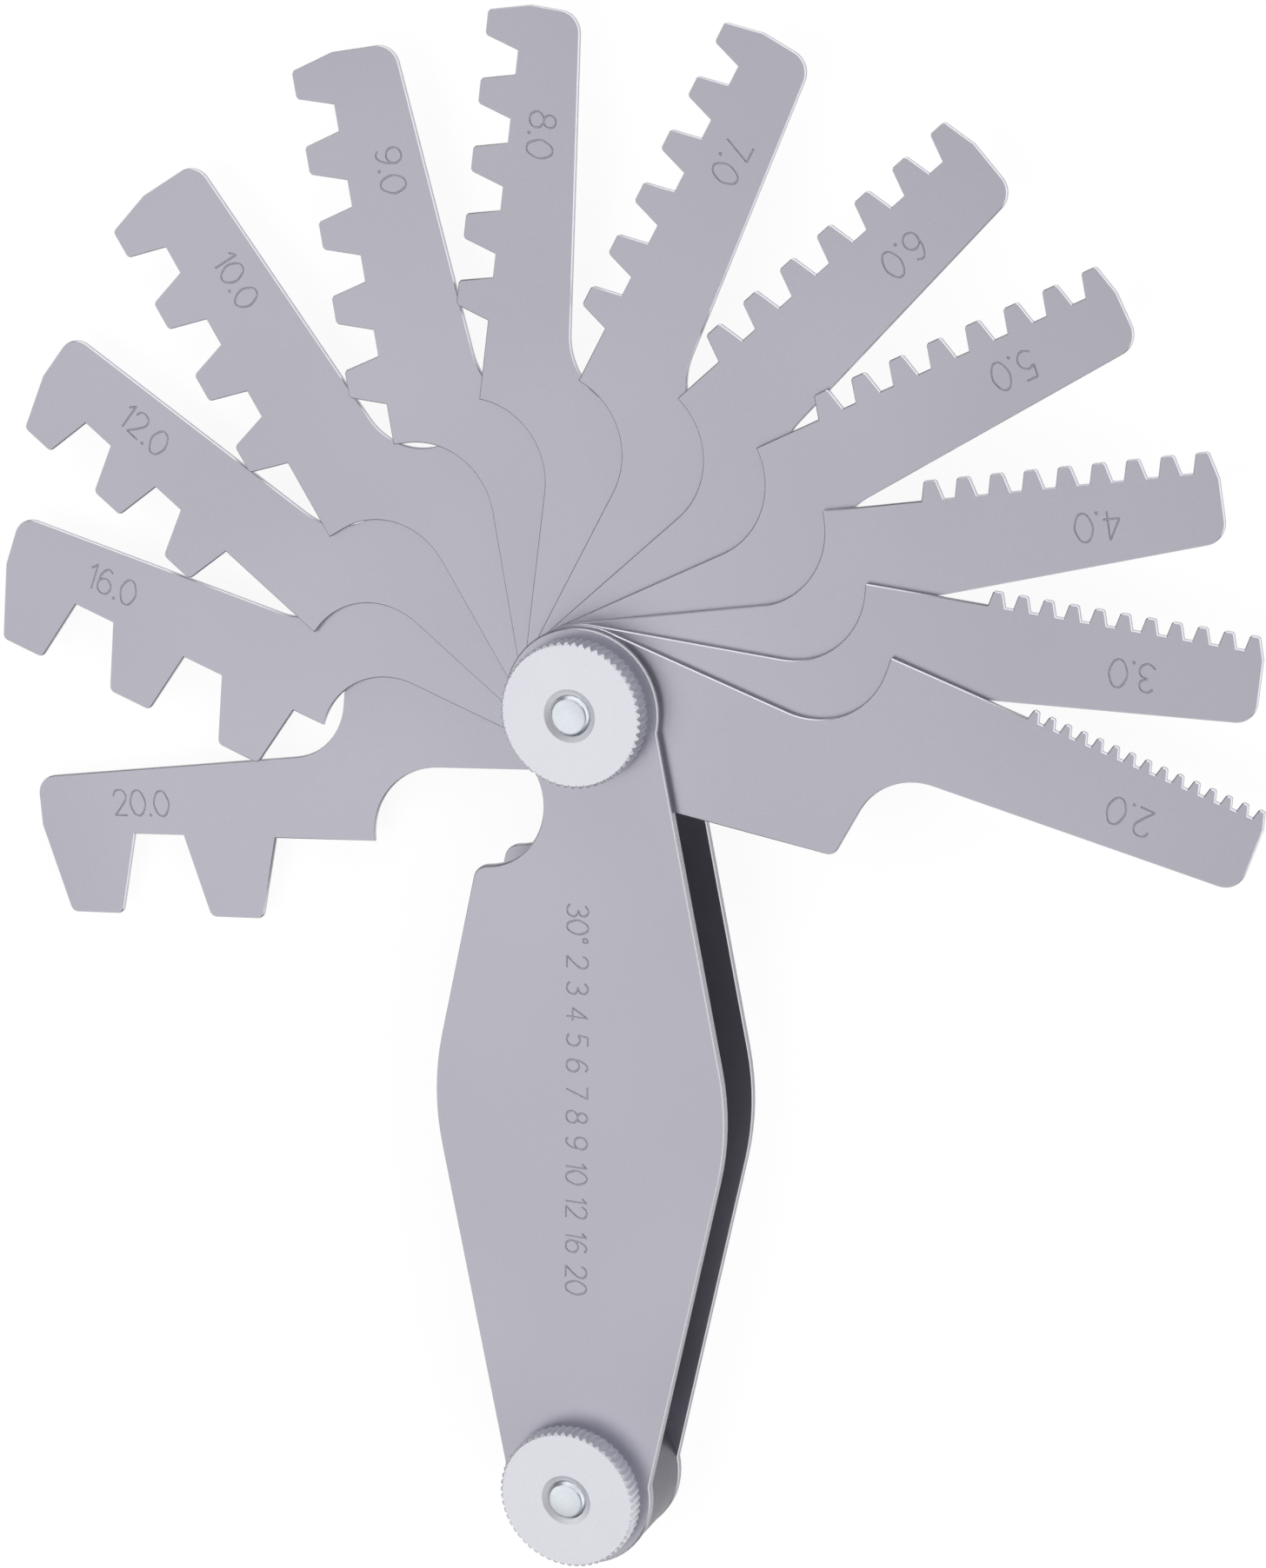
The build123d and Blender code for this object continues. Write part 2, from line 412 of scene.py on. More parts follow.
def pale_floor(name, colour_code):
    """Matt table that takes the gauge's soft shadow and shows white to the camera."""
    material, tree, output = new_material(name)
    paper = add_node(
        tree,
        "ShaderNodeBsdfDiffuse",
        values={"Color": hex_colour(colour_code), "Roughness": 1.0},
    )
    glow = add_node(
        tree, "ShaderNodeEmission", values={"Color": grey(1.0), "Strength": FLOOR_GLOW}
    )
    rays = add_node(tree, "ShaderNodeLightPath")
    # The metal mirrors a little of the same white
    mirrored = add_node(
        tree,
        "ShaderNodeMath",
        operation="MULTIPLY",
        values={1: FLOOR_MIRRORED},
        links={0: rays.outputs["Is Glossy Ray"]},
    )
    share = add_node(
        tree,
        "ShaderNodeMath",
        operation="MULTIPLY_ADD",
        values={1: FLOOR_SEEN},
        links={0: rays.outputs["Is Camera Ray"], 2: mirrored.outputs["Value"]},
    )
    mixed = add_node(
        tree,
        "ShaderNodeMixShader",
        links={0: share.outputs["Value"], 1: paper.outputs["BSDF"], 2: glow.outputs["Emission"]},
    )
    tree.links.new(mixed.outputs["Shader"], output.inputs["Surface"])
    return material


def nearness(tree, direction, place):
    """Cosine of the angle between a direction and the way to a place."""
    towards = add_node(
        tree,
        "ShaderNodeVectorMath",
        operation="DOT_PRODUCT",
        values={1: Vector(place).normalized()},
        links={0: direction},
    )
    return towards.outputs["Value"]


def soft_sky(tree, strength):
    """White tent with a dark horizon, a dark spot round the camera and a low window, and
    plain white where the camera sees it."""
    background = tree.nodes["Background"]
    direction = add_node(tree, "ShaderNodeTexCoord").outputs["Generated"]
    parts = add_node(tree, "ShaderNodeSeparateXYZ", links={"Vector": direction})
    tent = grey_ramp(
        tree,
        parts.outputs["Z"],
        ((0.0, 0.12), (0.35, 0.24), (0.7, 0.97), (0.86, 1.0), (1.0, 0.92)),
    )
    # The camera stood above the upper right, and the metal mirrors the dark round it
    dark_spot = grey_ramp(
        tree,
        nearness(tree, direction, CAMERA_PLACE),
        ((0.0, 1.0), (0.69, 1.0), (0.86, 0.34), (0.95, 0.06), (1.0, 0.05)),
    )
    # A low bright window on the camera's side draws the pale lines on the edges
    low_band = grey_ramp(
        tree, parts.outputs["Z"], ((0.0, 0.2), (0.1, 1.0), (0.5, 1.0), (0.68, 0.0))
    )
    window_side = grey_ramp(
        tree,
        nearness(tree, direction, WINDOW_PLACE),
        ((0.0, 0.0), (0.22, WINDOW_LIGHT), (1.0, WINDOW_LIGHT)),
    )
    window = mix_colour(tree, 1.0, low_band, window_side, "MULTIPLY")
    shaded = mix_colour(tree, 1.0, tent, dark_spot, "MULTIPLY")
    sky = mix_colour(tree, 1.0, shaded, window, "ADD")
    rays = add_node(tree, "ShaderNodeLightPath")
    seen = mix_colour(tree, rays.outputs["Is Camera Ray"], sky, grey(BACKDROP_LIGHT))
    tree.links.new(seen, background.inputs["Color"])
    background.inputs["Strength"].default_value = strength


def link_object(name, data):
    """New object in the scene that holds a mesh or a curve."""
    piece = bpy.data.objects.new(name, data)
    bpy.context.collection.objects.link(piece)
    return piece


def plain_piece(maker, name):
    """Plain mesh object of what an object's modifiers make, in place of that object."""
    depsgraph = bpy.context.evaluated_depsgraph_get()
    mesh = bpy.data.meshes.new_from_object(maker.evaluated_get(depsgraph))
    mesh.name = name
    maker_data = maker.data
    bpy.data.objects.remove(maker)
    if maker_data.users == 0:
        bpy.data.batch_remove([maker_data])
    return link_object(name, mesh)


def axis_centre(low, high):
    """Point on the floor under the middle of a box between two corners."""
    return ((low[0] + high[0]) / 2, (low[1] + high[1]) / 2, 0)


def merged_copy(node_name):
    """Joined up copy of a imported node's mesh, with flat faces in one piece."""
    work = bmesh.new()
    work.from_mesh(frame["nodes"][node_name].data)
    work.transform(frame["nodes"][node_name].matrix_world)
    bmesh.ops.remove_doubles(work, verts=work.verts, dist=MERGE_DISTANCE)
    bmesh.ops.dissolve_limit(
        work, angle_limit=FLAT_ANGLE, verts=work.verts, edges=work.edges
    )
    return work


def break_edges(work, width):
    """Breaks every sharp edge that runs round a flat sheet's face."""
    sharp = [
        edge
        for edge in work.edges
        if len(edge.link_faces) == 2
        and abs(edge.link_faces[0].normal.z - edge.link_faces[1].normal.z) > EDGE_TURN
    ]
    bmesh.ops.bevel(
        work,
        geom=sharp,
        offset=width,
        segments=1,
        affect="EDGES",
        clamp_overlap=False,
    )


def edged_sheet(node_name, name, width, face_material, edge_material):
    """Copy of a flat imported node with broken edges: faces satin, sides and edges sheared."""
    work = merged_copy(node_name)
    break_edges(work, width)
    for face in work.faces:
        face.material_index = 0 if abs(face.normal.z) > FLAT_FACE else 1
    mesh = bpy.data.meshes.new(name)
    work.to_mesh(mesh)
    work.free()
    mesh.materials.append(face_material)
    mesh.materials.append(edge_material)
    return link_object(name, mesh)


def write_grain_map(piece, degrees):
    """UV map in metres along and across a piece that lies turned by some degrees."""
    mesh = piece.data
    turn = Matrix.Rotation(math.radians(-degrees), 3, "Z")
    layer = mesh.uv_layers.new(name=GRAIN_MAP)
    shift = GRAIN_SHIFT * degrees
    for loop in mesh.loops:
        place = turn @ mesh.vertices[loop.vertex_index].co
        layer.data[loop.index].uv = (place.x + shift, place.y)


def finish_shading(piece):
    """Smooth shading that keeps the sharp edges."""
    piece.data.shade_smooth()
    piece.data.set_sharp_from_angle(angle=SMOOTH_ANGLE)


def new_tree(name, inputs):
    """New geometry node tree with its inputs, as pairs of a name and a kind of socket."""
    tree = bpy.data.node_groups.new(name, "GeometryNodeTree")
    tree.is_modifier = True
    face = tree.interface
    for label, kind in (("Geometry", "Geometry"), *inputs, ("Finish", "Material")):
        face.new_socket(label, in_out="INPUT", socket_type=f"NodeSocket{kind}")
    face.new_socket("Geometry", in_out="OUTPUT", socket_type="NodeSocketGeometry")
    return tree, add_node(tree, "NodeGroupInput").outputs


def finish_tree(tree, geometry, finish):
    """Makes a tree's instances real, gives them their finish and hands them out."""
    real = add_node(tree, "GeometryNodeRealizeInstances", links={"Geometry": geometry})
    finished = add_node(
        tree,
        "GeometryNodeSetMaterial",
        links={"Geometry": real.outputs["Geometry"], "Material": finish},
    )
    add_node(tree, "NodeGroupOutput", links={"Geometry": finished.outputs["Geometry"]})


def engraver_tree():
    """Geometry nodes that turn single strokes into round bodies for cutting grooves."""
    tree, given = new_tree("engraved_groove", (("Cutter radius", "Float"), ("Step", "Float")))
    steps = add_node(
        tree,
        "GeometryNodeResampleCurve",
        mode="LENGTH",
        links={"Curve": given["Geometry"], "Length": given["Step"]},
    )
    round_bit = add_node(
        tree,
        "GeometryNodeCurvePrimitiveCircle",
        values={"Resolution": BIT_SIDES},
        links={"Radius": given["Cutter radius"]},
    )
    bodies = add_node(
        tree,
        "GeometryNodeCurveToMesh",
        values={"Fill Caps": True},
        links={"Curve": steps.outputs["Curve"], "Profile Curve": round_bit.outputs["Curve"]},
    )
    finish_tree(tree, bodies.outputs["Mesh"], given["Finish"])
    return tree


def use_tree(piece, tree, values):
    """Puts a geometry node tree on a piece and sets its inputs by their identifiers."""
    modifier = piece.modifiers.new(tree.name, "NODES")
    modifier.node_group = tree
    for item in tree.interface.items_tree:
        if item.item_type == "SOCKET" and item.in_out == "INPUT" and item.name in values:
            modifier[item.identifier] = values[item.name]


def figure_strokes(text, height):
    """Strokes of a row of figures from its baseline's start, and the row's length."""
    strokes = []
    cursor = 0.0
    for figure in text:
        for kind, points in STROKES.get(figure, ()):
            strokes.append((kind, [(cursor + x * height, y * height) for x, y in points]))
        cursor += (FIGURE_WIDTHS.get(figure, FIGURE_WIDTH) + FIGURE_GAP) * height
    return strokes, cursor - FIGURE_GAP * height


def stroke_curve(name, strokes, placement):
    """Curve object with one spline for each stroke, laid by a 4 by 4 placement."""
    curve = bpy.data.curves.new(name, "CURVE")
    curve.dimensions = "3D"
    curve.resolution_u = 12
    for kind, points in strokes:
        spline = curve.splines.new("BEZIER")
        spline.bezier_points.add(len(points) - 1)
        spline.use_cyclic_u = kind == "C"
        for point, (x, y) in zip(spline.bezier_points, points):
            point.co = placement @ Vector((x * MM, y * MM, 0))
            handle = "VECTOR" if kind == "S" else "AUTO"
            point.handle_left_type = handle
            point.handle_right_type = handle
    return link_object(name, curve)


def engrave(piece, text, height, placement, sizes, cut_material):
    """Cuts a row of figures into a piece as shallow round grooves."""
    strokes = figure_strokes(text, height)[0]
    half_width = sizes.groove_width / 2
    bit_radius = (half_width**2 + sizes.groove_depth**2) / (2 * sizes.groove_depth)
    lift = Matrix.Translation((0, 0, bit_radius - sizes.groove_depth))
    marker = stroke_curve(piece.name + "_strokes", strokes, placement @ lift)
    use_tree(
        marker,
        bpy.data.node_groups["engraved_groove"],
        {"Cutter radius": bit_radius, "Step": ENGRAVER_STEP, "Finish": cut_material},
    )
    cutter = plain_piece(marker, piece.name + "_cutter")
    cut = piece.modifiers.new("engraving", "BOOLEAN")
    cut.operation = "DIFFERENCE"
    cut.solver = "EXACT"
    cut.use_self = True
    cut.material_mode = "TRANSFER"
    cut.object = cutter
    engraved = plain_piece(piece, piece.name + "_cut")
    bpy.data.meshes.remove(cutter.data)
    return engraved


def length(label, description, millimetres):
    """Setting that holds a length, given in millimetres."""
    return FloatProperty(
        name=label, description=description, default=millimetres * MM, subtype="DISTANCE"
    )


class GaugeSteelSizes(bpy.types.PropertyGroup):
    edge_break: length(
        "Edge break", "Width of the broken edge round a leaf or a cover", 0.12
    )
    groove_width: length("Groove width", "Width of an engraved stroke at the surface", 0.24)
    groove_depth: length("Groove depth", "Depth of an engraved stroke", 0.06)
    figure_height: length("Figure height", "Height of the figures engraved on a leaf", 3.3)
    row_height: length(
        "Row height", "Height of the figures engraved on the front cover", 2.75
    )
    face_colour: StringProperty(
        name="Face colour",
        description="Colour of the satin faces as an sRGB hex code",
        default="#BAB9C3",
    )


class GaugeNutSizes(bpy.types.PropertyGroup):
    ridges: IntProperty(
        name="Ridges", description="Ridges of the knurl round a nut", default=58, min=12
    )
    ridge_depth: length("Ridge depth", "Depth of the knurl", 0.42)
    face_radius: length(
        "Face radius", "Radius of a nut's flat face inside its chamfer", 8.64
    )
    foot_chamfer: length(
        "Foot chamfer", "How much smaller a nut's seat is than its flat face", 0.6
    )
    sink_radius: length(
        "Countersink radius", "Radius of the countersink at a nut's face", 3.15
    )
    sink_depth: length(
        "Countersink depth", "Depth at which the countersink meets the stud's thread", 0.24
    )
    bore_radius: length("Bore radius", "Radius of a nut's bore", 2.51)
    dark_colour: StringProperty(
        name="Darker ring colour",
        description="Darker colour of the turning marks as an sRGB hex code",
        default="#EDEDF5",
    )
    light_colour: StringProperty(
        name="Lighter ring colour",
        description="Lighter colour of the turning marks as an sRGB hex code",
        default="#F7F7FE",
    )


class GaugeStudSizes(bpy.types.PropertyGroup):
    radius: length("Thread radius", "Radius of a stud over its thread", 2.49)
    thread_pitch: length("Thread pitch", "Rise of the thread in one turn", 0.8)
    thread_depth: length("Thread depth", "Depth of the thread", 0.4)
    rim_round: length("Rim round", "Rounding of a stud's front end", 0.6)
    head_round: length("Head edge", "Broken edge of a stud's head", 0.3)
    head_height: length("Head height", "Height of a stud's head behind the rear cover", 1.2)


class GaugeStageSettings(bpy.types.PropertyGroup):
    floor_width: FloatProperty(
        name="Floor width",
        description="Width of the table top under the gauge",
        default=4.0,
        subtype="DISTANCE",
    )
    floor_colour: StringProperty(
        name="Floor colour",
        description="Colour of the table top as an sRGB hex code",
        default="#ECECEC",
    )
    key_power: FloatProperty(
        name="Key light", description="Power of the soft key light in watts", default=1.25
    )
    key_place: FloatVectorProperty(
        name="Key place",
        description="Place of the soft key light, where the faces mirror it to the camera",
        default=(-0.34, -0.23, 0.85),
        subtype="TRANSLATION",
    )
    sky_strength: FloatProperty(
        name="Sky strength",
        description="Strength of the light all round",
        default=0.675,
    )


def calculate(tree, operation, *operands):
    """Maths node on numbers and sockets, as a socket."""
    node = add_node(tree, "ShaderNodeMath", operation=operation)
    for number, source in enumerate(operands):
        feed(tree, node.inputs[number], source)
    return node.outputs["Value"]


def pick(tree, index, choices):
    """Value of a list of sockets or numbers at an index, as a socket."""
    node = add_node(tree, "GeometryNodeIndexSwitch", data_type="FLOAT", links={"Index": index})
    while len(node.index_switch_items) < len(choices):
        node.index_switch_items.new()
    for place, source in enumerate(choices):
        feed(tree, node.inputs[str(place)], source)
    return node.outputs["Output"]


def grid_places(tree, stations, columns):
    """Grid that is to be wrapped round an axis, and each point's station and angle."""
    across = calculate(tree, "SUBTRACT", stations, 1.0)
    grid = add_node(
        tree,
        "GeometryNodeMeshGrid",
        links={
            "Size X": across,
            "Size Y": columns,
            "Vertices X": stations,
            "Vertices Y": calculate(tree, "ADD", columns, 1.0),
        },
    )
    place = add_node(tree, "GeometryNodeInputPosition").outputs["Position"]
    parts = add_node(tree, "ShaderNodeSeparateXYZ", links={"Vector": place}).outputs
    half = calculate(tree, "MULTIPLY", across, 0.5)
    station = calculate(tree, "ROUND", calculate(tree, "ADD", parts["X"], half))
    turn_share = calculate(tree, "DIVIDE", parts["Y"], columns)
    return grid.outputs["Mesh"], station, calculate(tree, "MULTIPLY", turn_share, math.tau)


def wrap_round(tree, mesh, radius, height, angle, centre, material):
    """Wraps a grid round an axis, closes its seam and poles and gives it its finish."""
    x = calculate(tree, "MULTIPLY", radius, calculate(tree, "COSINE", angle))
    y = calculate(tree, "MULTIPLY", radius, calculate(tree, "SINE", angle))
    ring = add_node(tree, "ShaderNodeCombineXYZ", links={"X": x, "Y": y, "Z": height})
    placed = add_node(
        tree,
        "ShaderNodeVectorMath",
        operation="ADD",
        links={0: ring.outputs["Vector"], 1: centre},
    )
    moved = add_node(
        tree,
        "GeometryNodeSetPosition",
        links={"Geometry": mesh, "Position": placed.outputs["Vector"]},
    )
    closed = add_node(
        tree,
        "GeometryNodeMergeByDistance",
        values={"Distance": SEAM_DISTANCE},
        links={"Geometry": moved.outputs["Geometry"]},
    )
    finish_tree(tree, closed.outputs["Geometry"], material)


def lathe_inputs(name, number_names, length_names):
    """New tree with whole number and length inputs, a centre and a finish."""
    numbers = [(label, "Int") for label in number_names]
    lengths = [(label, "Float") for label in length_names]
    return new_tree(name, (*numbers, *lengths, ("Centre", "Vector")))


def knurled_nut_tree():
    """Round nut: straight knurl with round ridges, a chamfer at each end, a countersink."""
    lengths = (
        "Outer radius",
        "Ridge depth",
        "Face radius",
        "Foot chamfer",
        "Sink radius",
        "Sink depth",
        "Bore radius",
        "Base",
        "Top",
    )
    tree, given = lathe_inputs("knurled_nut", ("Ridges", "Stations", "Columns"), lengths)
    mesh, station, angle = grid_places(tree, given["Stations"], given["Columns"])
    half_ridges = calculate(tree, "MULTIPLY", given["Ridges"], 0.5)
    half_turns = calculate(tree, "MULTIPLY", angle, half_ridges)
    swell = calculate(tree, "ABSOLUTE", calculate(tree, "COSINE", half_turns))
    valley = calculate(tree, "SUBTRACT", given["Outer radius"], given["Ridge depth"])
    crest = calculate(tree, "MULTIPLY_ADD", given["Ridge depth"], swell, valley)
    # The valleys are cut a little into the face, so its rim follows the knurl there
    rim = calculate(tree, "MINIMUM", given["Face radius"], crest)
    shoulder = calculate(tree, "SUBTRACT", crest, rim)
    chamfer_foot = calculate(tree, "SUBTRACT", given["Top"], shoulder)
    lip_height = calculate(tree, "SUBTRACT", given["Top"], RIM_DROP)
    chamfer_top = calculate(tree, "MINIMUM", chamfer_foot, lip_height)
    lip_radius = calculate(tree, "SUBTRACT", rim, NUT_CORNER)
    sink_lip = calculate(tree, "ADD", given["Sink radius"], NUT_CORNER)
    sink_foot = calculate(tree, "SUBTRACT", given["Top"], given["Sink depth"])
    sink_edge = calculate(tree, "SUBTRACT", given["Top"], SINK_DROP)
    foot_radius = calculate(tree, "SUBTRACT", rim, given["Foot chamfer"])
    foot_height = calculate(tree, "SUBTRACT", crest, foot_radius)
    chamfer_base = calculate(tree, "ADD", given["Base"], foot_height)
    profile = (
        (given["Bore radius"], given["Base"]),
        (foot_radius, given["Base"]),
        (crest, chamfer_base),
        (crest, chamfer_top),
        (rim, lip_height),
        (lip_radius, given["Top"]),
        (sink_lip, given["Top"]),
        (given["Sink radius"], sink_edge),
        (given["Bore radius"], sink_foot),
        (given["Bore radius"], given["Base"]),
    )
    radius, height = (pick(tree, station, choices) for choices in zip(*profile))
    wrap_round(tree, mesh, radius, height, angle, given["Centre"], given["Finish"])
    return tree


def threaded_stud_tree():
    """Stud with a low round head, a plain shank and a thread that runs out at its round rim."""
    lengths = (
        "Head radius",
        "Head height",
        "Head edge",
        "Radius",
        "Thread depth",
        "Thread pitch",
        "Thread start",
        "Step",
        "Rim round",
        "Top",
    )
    tree, given = lathe_inputs("threaded_stud", ("Stations", "Columns"), lengths)
    mesh, station, angle = grid_places(tree, given["Stations"], given["Columns"])
    head_inner = calculate(tree, "SUBTRACT", given["Head radius"], given["Head edge"])
    head = (
        (0.0, 0.0),
        (head_inner, 0.0),
        (given["Head radius"], given["Head edge"]),
        (given["Head radius"], given["Head height"]),
        (given["Radius"], given["Head height"]),
        (given["Radius"], given["Thread start"]),
    )
    foot, foot_height = (pick(tree, station, choices) for choices in zip(*head))
    beyond = calculate(tree, "SUBTRACT", station, HEAD_STATIONS - 1.0)
    climb = calculate(tree, "MULTIPLY_ADD", beyond, given["Step"], given["Thread start"])
    level = calculate(tree, "MINIMUM", climb, given["Top"])
    turns = calculate(tree, "DIVIDE", angle, math.tau)
    level_turns = calculate(tree, "DIVIDE", level, given["Thread pitch"])
    phase = calculate(tree, "SUBTRACT", level_turns, turns)
    # A triangle wave gives the flanks of the thread
    wave = calculate(tree, "PINGPONG", phase, 0.5)
    full_wave = calculate(tree, "MULTIPLY", wave, 2.0)
    dip = calculate(tree, "MULTIPLY", full_wave, given["Thread depth"])
    crest = calculate(tree, "SUBTRACT", given["Radius"], dip)
    # The rounded rim is a quarter circle that the thread runs out into
    rim_foot = calculate(tree, "SUBTRACT", given["Top"], given["Rim round"])
    rise = calculate(tree, "MAXIMUM", calculate(tree, "SUBTRACT", level, rim_foot), 0.0)
    rise_share = calculate(tree, "DIVIDE", rise, given["Rim round"])
    rest = calculate(tree, "SUBTRACT", 1.0, calculate(tree, "POWER", rise_share, 2.0))
    level_share = calculate(tree, "SQRT", calculate(tree, "MAXIMUM", rest, 0.0))
    drawn_in = calculate(tree, "SUBTRACT", 1.0, level_share)
    rim_loss = calculate(tree, "MULTIPLY", drawn_in, given["Rim round"])
    limit = calculate(tree, "SUBTRACT", given["Radius"], rim_loss)
    threaded = calculate(tree, "MINIMUM", crest, limit)
    # The last station closes the end on the axis
    last = calculate(tree, "SUBTRACT", given["Stations"], 1.0)
    is_last = calculate(tree, "COMPARE", station, last, 0.5)
    is_open = calculate(tree, "SUBTRACT", 1.0, is_last)
    open_radius = calculate(tree, "MULTIPLY", threaded, is_open)
    # The first stations are the head's and the plain shank's
    is_foot = calculate(tree, "LESS_THAN", station, HEAD_STATIONS - 0.5)
    is_thread = calculate(tree, "SUBTRACT", 1.0, is_foot)
    foot_radius = calculate(tree, "MULTIPLY", foot, is_foot)
    foot_level = calculate(tree, "MULTIPLY", foot_height, is_foot)
    radius = calculate(tree, "MULTIPLY_ADD", open_radius, is_thread, foot_radius)
    height = calculate(tree, "MULTIPLY_ADD", level, is_thread, foot_level)
    wrap_round(tree, mesh, radius, height, angle, given["Centre"], given["Finish"])
    return tree


def lathe_piece(name, tree, values):
    """Plain mesh of a lathe tree, with its faces turned outwards."""
    maker = link_object(name + "_maker", bpy.data.meshes.new(name + "_maker"))
    use_tree(maker, tree, values)
    piece = plain_piece(maker, name)
    work = bmesh.new()
    work.from_mesh(piece.data)
    bmesh.ops.dissolve_degenerate(work, dist=MERGE_DISTANCE, edges=work.edges)
    bmesh.ops.recalc_face_normals(work, faces=work.faces)
    work.to_mesh(piece.data)
    work.free()
    finish_shading(piece)
    return piece


class PITCHGAUGE_OT_leaves(bpy.types.Operator):
    """Breaks the leaves' edges and engraves each leaf's pitch in millimetres"""

    bl_idname = "pitchgauge.leaves"
    bl_label = "Leaves"

    def execute(self, context):
        sizes = context.scene.gauge_steel
        face = bpy.data.materials["satin_ground_steel"]
        edge = bpy.data.materials["leaf_edge_painted_highlight"]
        cut = bpy.data.materials["painted_shade_groove"]
        figure_height = sizes.figure_height / MM
        for mark, number, degrees in zip(LEAF_MARKS, LEAF_NUMBERS, LEAF_DEGREES):
            node = f"leaf_{mark}"
            sheet = edged_sheet(node, f"{node}_sheet", sizes.edge_break, face, edge)
            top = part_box(node)[1][2]
            row_length = figure_strokes(number, figure_height)[1]
            # The number stands on its head in the leaf's own plane: it reads towards
            # the pivot, with its feet towards the teeth.
            middle = Matrix.Translation((LEAF_NUMBER_PLACE[0] * MM, LEAF_NUMBER_PLACE[1] * MM, top))
            half_turn = Matrix.Rotation(math.pi, 4, "Z")
            to_start = Matrix.Translation((-row_length / 2 * MM, -figure_height / 2 * MM, 0))
            fan_turn = Matrix.Rotation(math.radians(degrees), 4, "Z")
            placement = fan_turn @ middle @ half_turn @ to_start
            leaf = engrave(sheet, number, figure_height, placement, sizes, cut)
            leaf.name = f"{node}_engraved"
            write_grain_map(leaf, degrees)
            finish_shading(leaf)
            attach(leaf, node)
            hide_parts(node)
        return {"FINISHED"}


class PITCHGAUGE_OT_covers(bpy.types.Operator):
    """Breaks the covers' edges and engraves the row of numbers on the front cover"""

    bl_idname = "pitchgauge.covers"
    bl_label = "Covers"

    def execute(self, context):
        sizes = context.scene.gauge_steel
        face = bpy.data.materials["satin_ground_steel"]
        edge = bpy.data.materials["cover_edge_painted_shade"]
        cut = bpy.data.materials["painted_shade_groove"]
        rear = edged_sheet("rear_cover", "rear_cover_edged", sizes.edge_break, face, edge)
        front = edged_sheet("front_cover", "front_cover_sheet", sizes.edge_break, face, edge)
        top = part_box("front_cover")[1][2]
        start = Matrix.Translation((COVER_ROW_START[0] * MM, COVER_ROW_START[1] * MM, top))
        # The row reads down the cover, with the figures' heads to the right
        placement = start @ Matrix.Rotation(-math.pi / 2, 4, "Z")
        row_height = sizes.row_height / MM
        front = engrave(front, COVER_NUMBERS, row_height, placement, sizes, cut)
        front.name = "front_cover_engraved"
        for cover, node in ((front, "front_cover"), (rear, "rear_cover")):
            # The covers lie along Y, and so does their grain
            write_grain_map(cover, 90)
            finish_shading(cover)
            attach(cover, "handle")
            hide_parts(node)
        return {"FINISHED"}


class PITCHGAUGE_OT_spacer(bpy.types.Operator):
    """Breaks the spacer's edges and gives it its turned finish, painted dark as shade"""

    bl_idname = "pitchgauge.spacer"
    bl_label = "Spacer"

    def execute(self, context):
        sizes = context.scene.gauge_steel
        finish = bpy.data.materials["painted_shade_spacer_steel"]
        spacer = edged_sheet("end_spacer", "end_spacer_turned", sizes.edge_break, finish, finish)
        finish_shading(spacer)
        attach(spacer, "handle")
        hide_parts("end_spacer")
        return {"FINISHED"}


class PITCHGAUGE_OT_nuts(bpy.types.Operator):
    """Makes the two knurled nuts"""

    bl_idname = "pitchgauge.nuts"
    bl_label = "Knurled nuts"

    def execute(self, context):
        sizes = context.scene.gauge_nut
        tree = knurled_nut_tree()
        for end in ("pivot", "end"):
            node = f"{end}_nut"
            low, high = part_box(node)
            values = {
                "Ridges": sizes.ridges,
                "Stations": NUT_STATIONS,
                "Columns": COLUMNS_PER_RIDGE * sizes.ridges,
                "Outer radius": (high[1] - low[1]) / 2,
                "Ridge depth": sizes.ridge_depth,
                "Face radius": sizes.face_radius,
                "Foot chamfer": sizes.foot_chamfer,
                "Sink radius": sizes.sink_radius,
                "Sink depth": sizes.sink_depth,
                "Bore radius": sizes.bore_radius,
                "Base": low[2],
                "Top": high[2],
                "Centre": axis_centre(low, high),
                "Finish": bpy.data.materials[f"turned_aluminium_{end}"],
            }
            nut = lathe_piece(f"{node}_knurled", tree, values)
            nut.data.materials.append(bpy.data.materials["rolled_aluminium_knurl"])
            for polygon in nut.data.polygons:
                if abs(polygon.normal.z) < WALL_FACE:
                    polygon.material_index = 1
            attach(nut, node)
            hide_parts(node)
        return {"FINISHED"}


class PITCHGAUGE_OT_studs(bpy.types.Operator):
    """Makes the two threaded studs with their rounded front ends"""

    bl_idname = "pitchgauge.studs"
    bl_label = "Studs"

    def execute(self, context):
        sizes = context.scene.gauge_stud
        tree = threaded_stud_tree()
        nut_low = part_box("pivot_nut")[0]
        step = sizes.thread_pitch / STEPS_PER_TURN
        for end in ("pivot", "end"):
            node = f"{end}_stud"
            low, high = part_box(node)
            thread_stations = math.ceil((high[2] - nut_low[2]) / step)
            values = {
                "Stations": HEAD_STATIONS + thread_stations + 1,
                "Columns": STUD_COLUMNS,
                "Head radius": (high[0] - low[0]) / 2,
                "Head height": sizes.head_height,
                "Head edge": sizes.head_round,
                "Radius": sizes.radius,
                "Thread depth": sizes.thread_depth,
                "Thread pitch": sizes.thread_pitch,
                "Thread start": nut_low[2],
                "Step": step,
                "Rim round": sizes.rim_round,
                "Top": high[2],
                "Centre": axis_centre(low, high),
                "Finish": bpy.data.materials[f"zinc_plated_steel_{end}"],
            }
            stud = lathe_piece(f"{node}_threaded", tree, values)
            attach(stud, "handle")
            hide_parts(node)
        return {"FINISHED"}


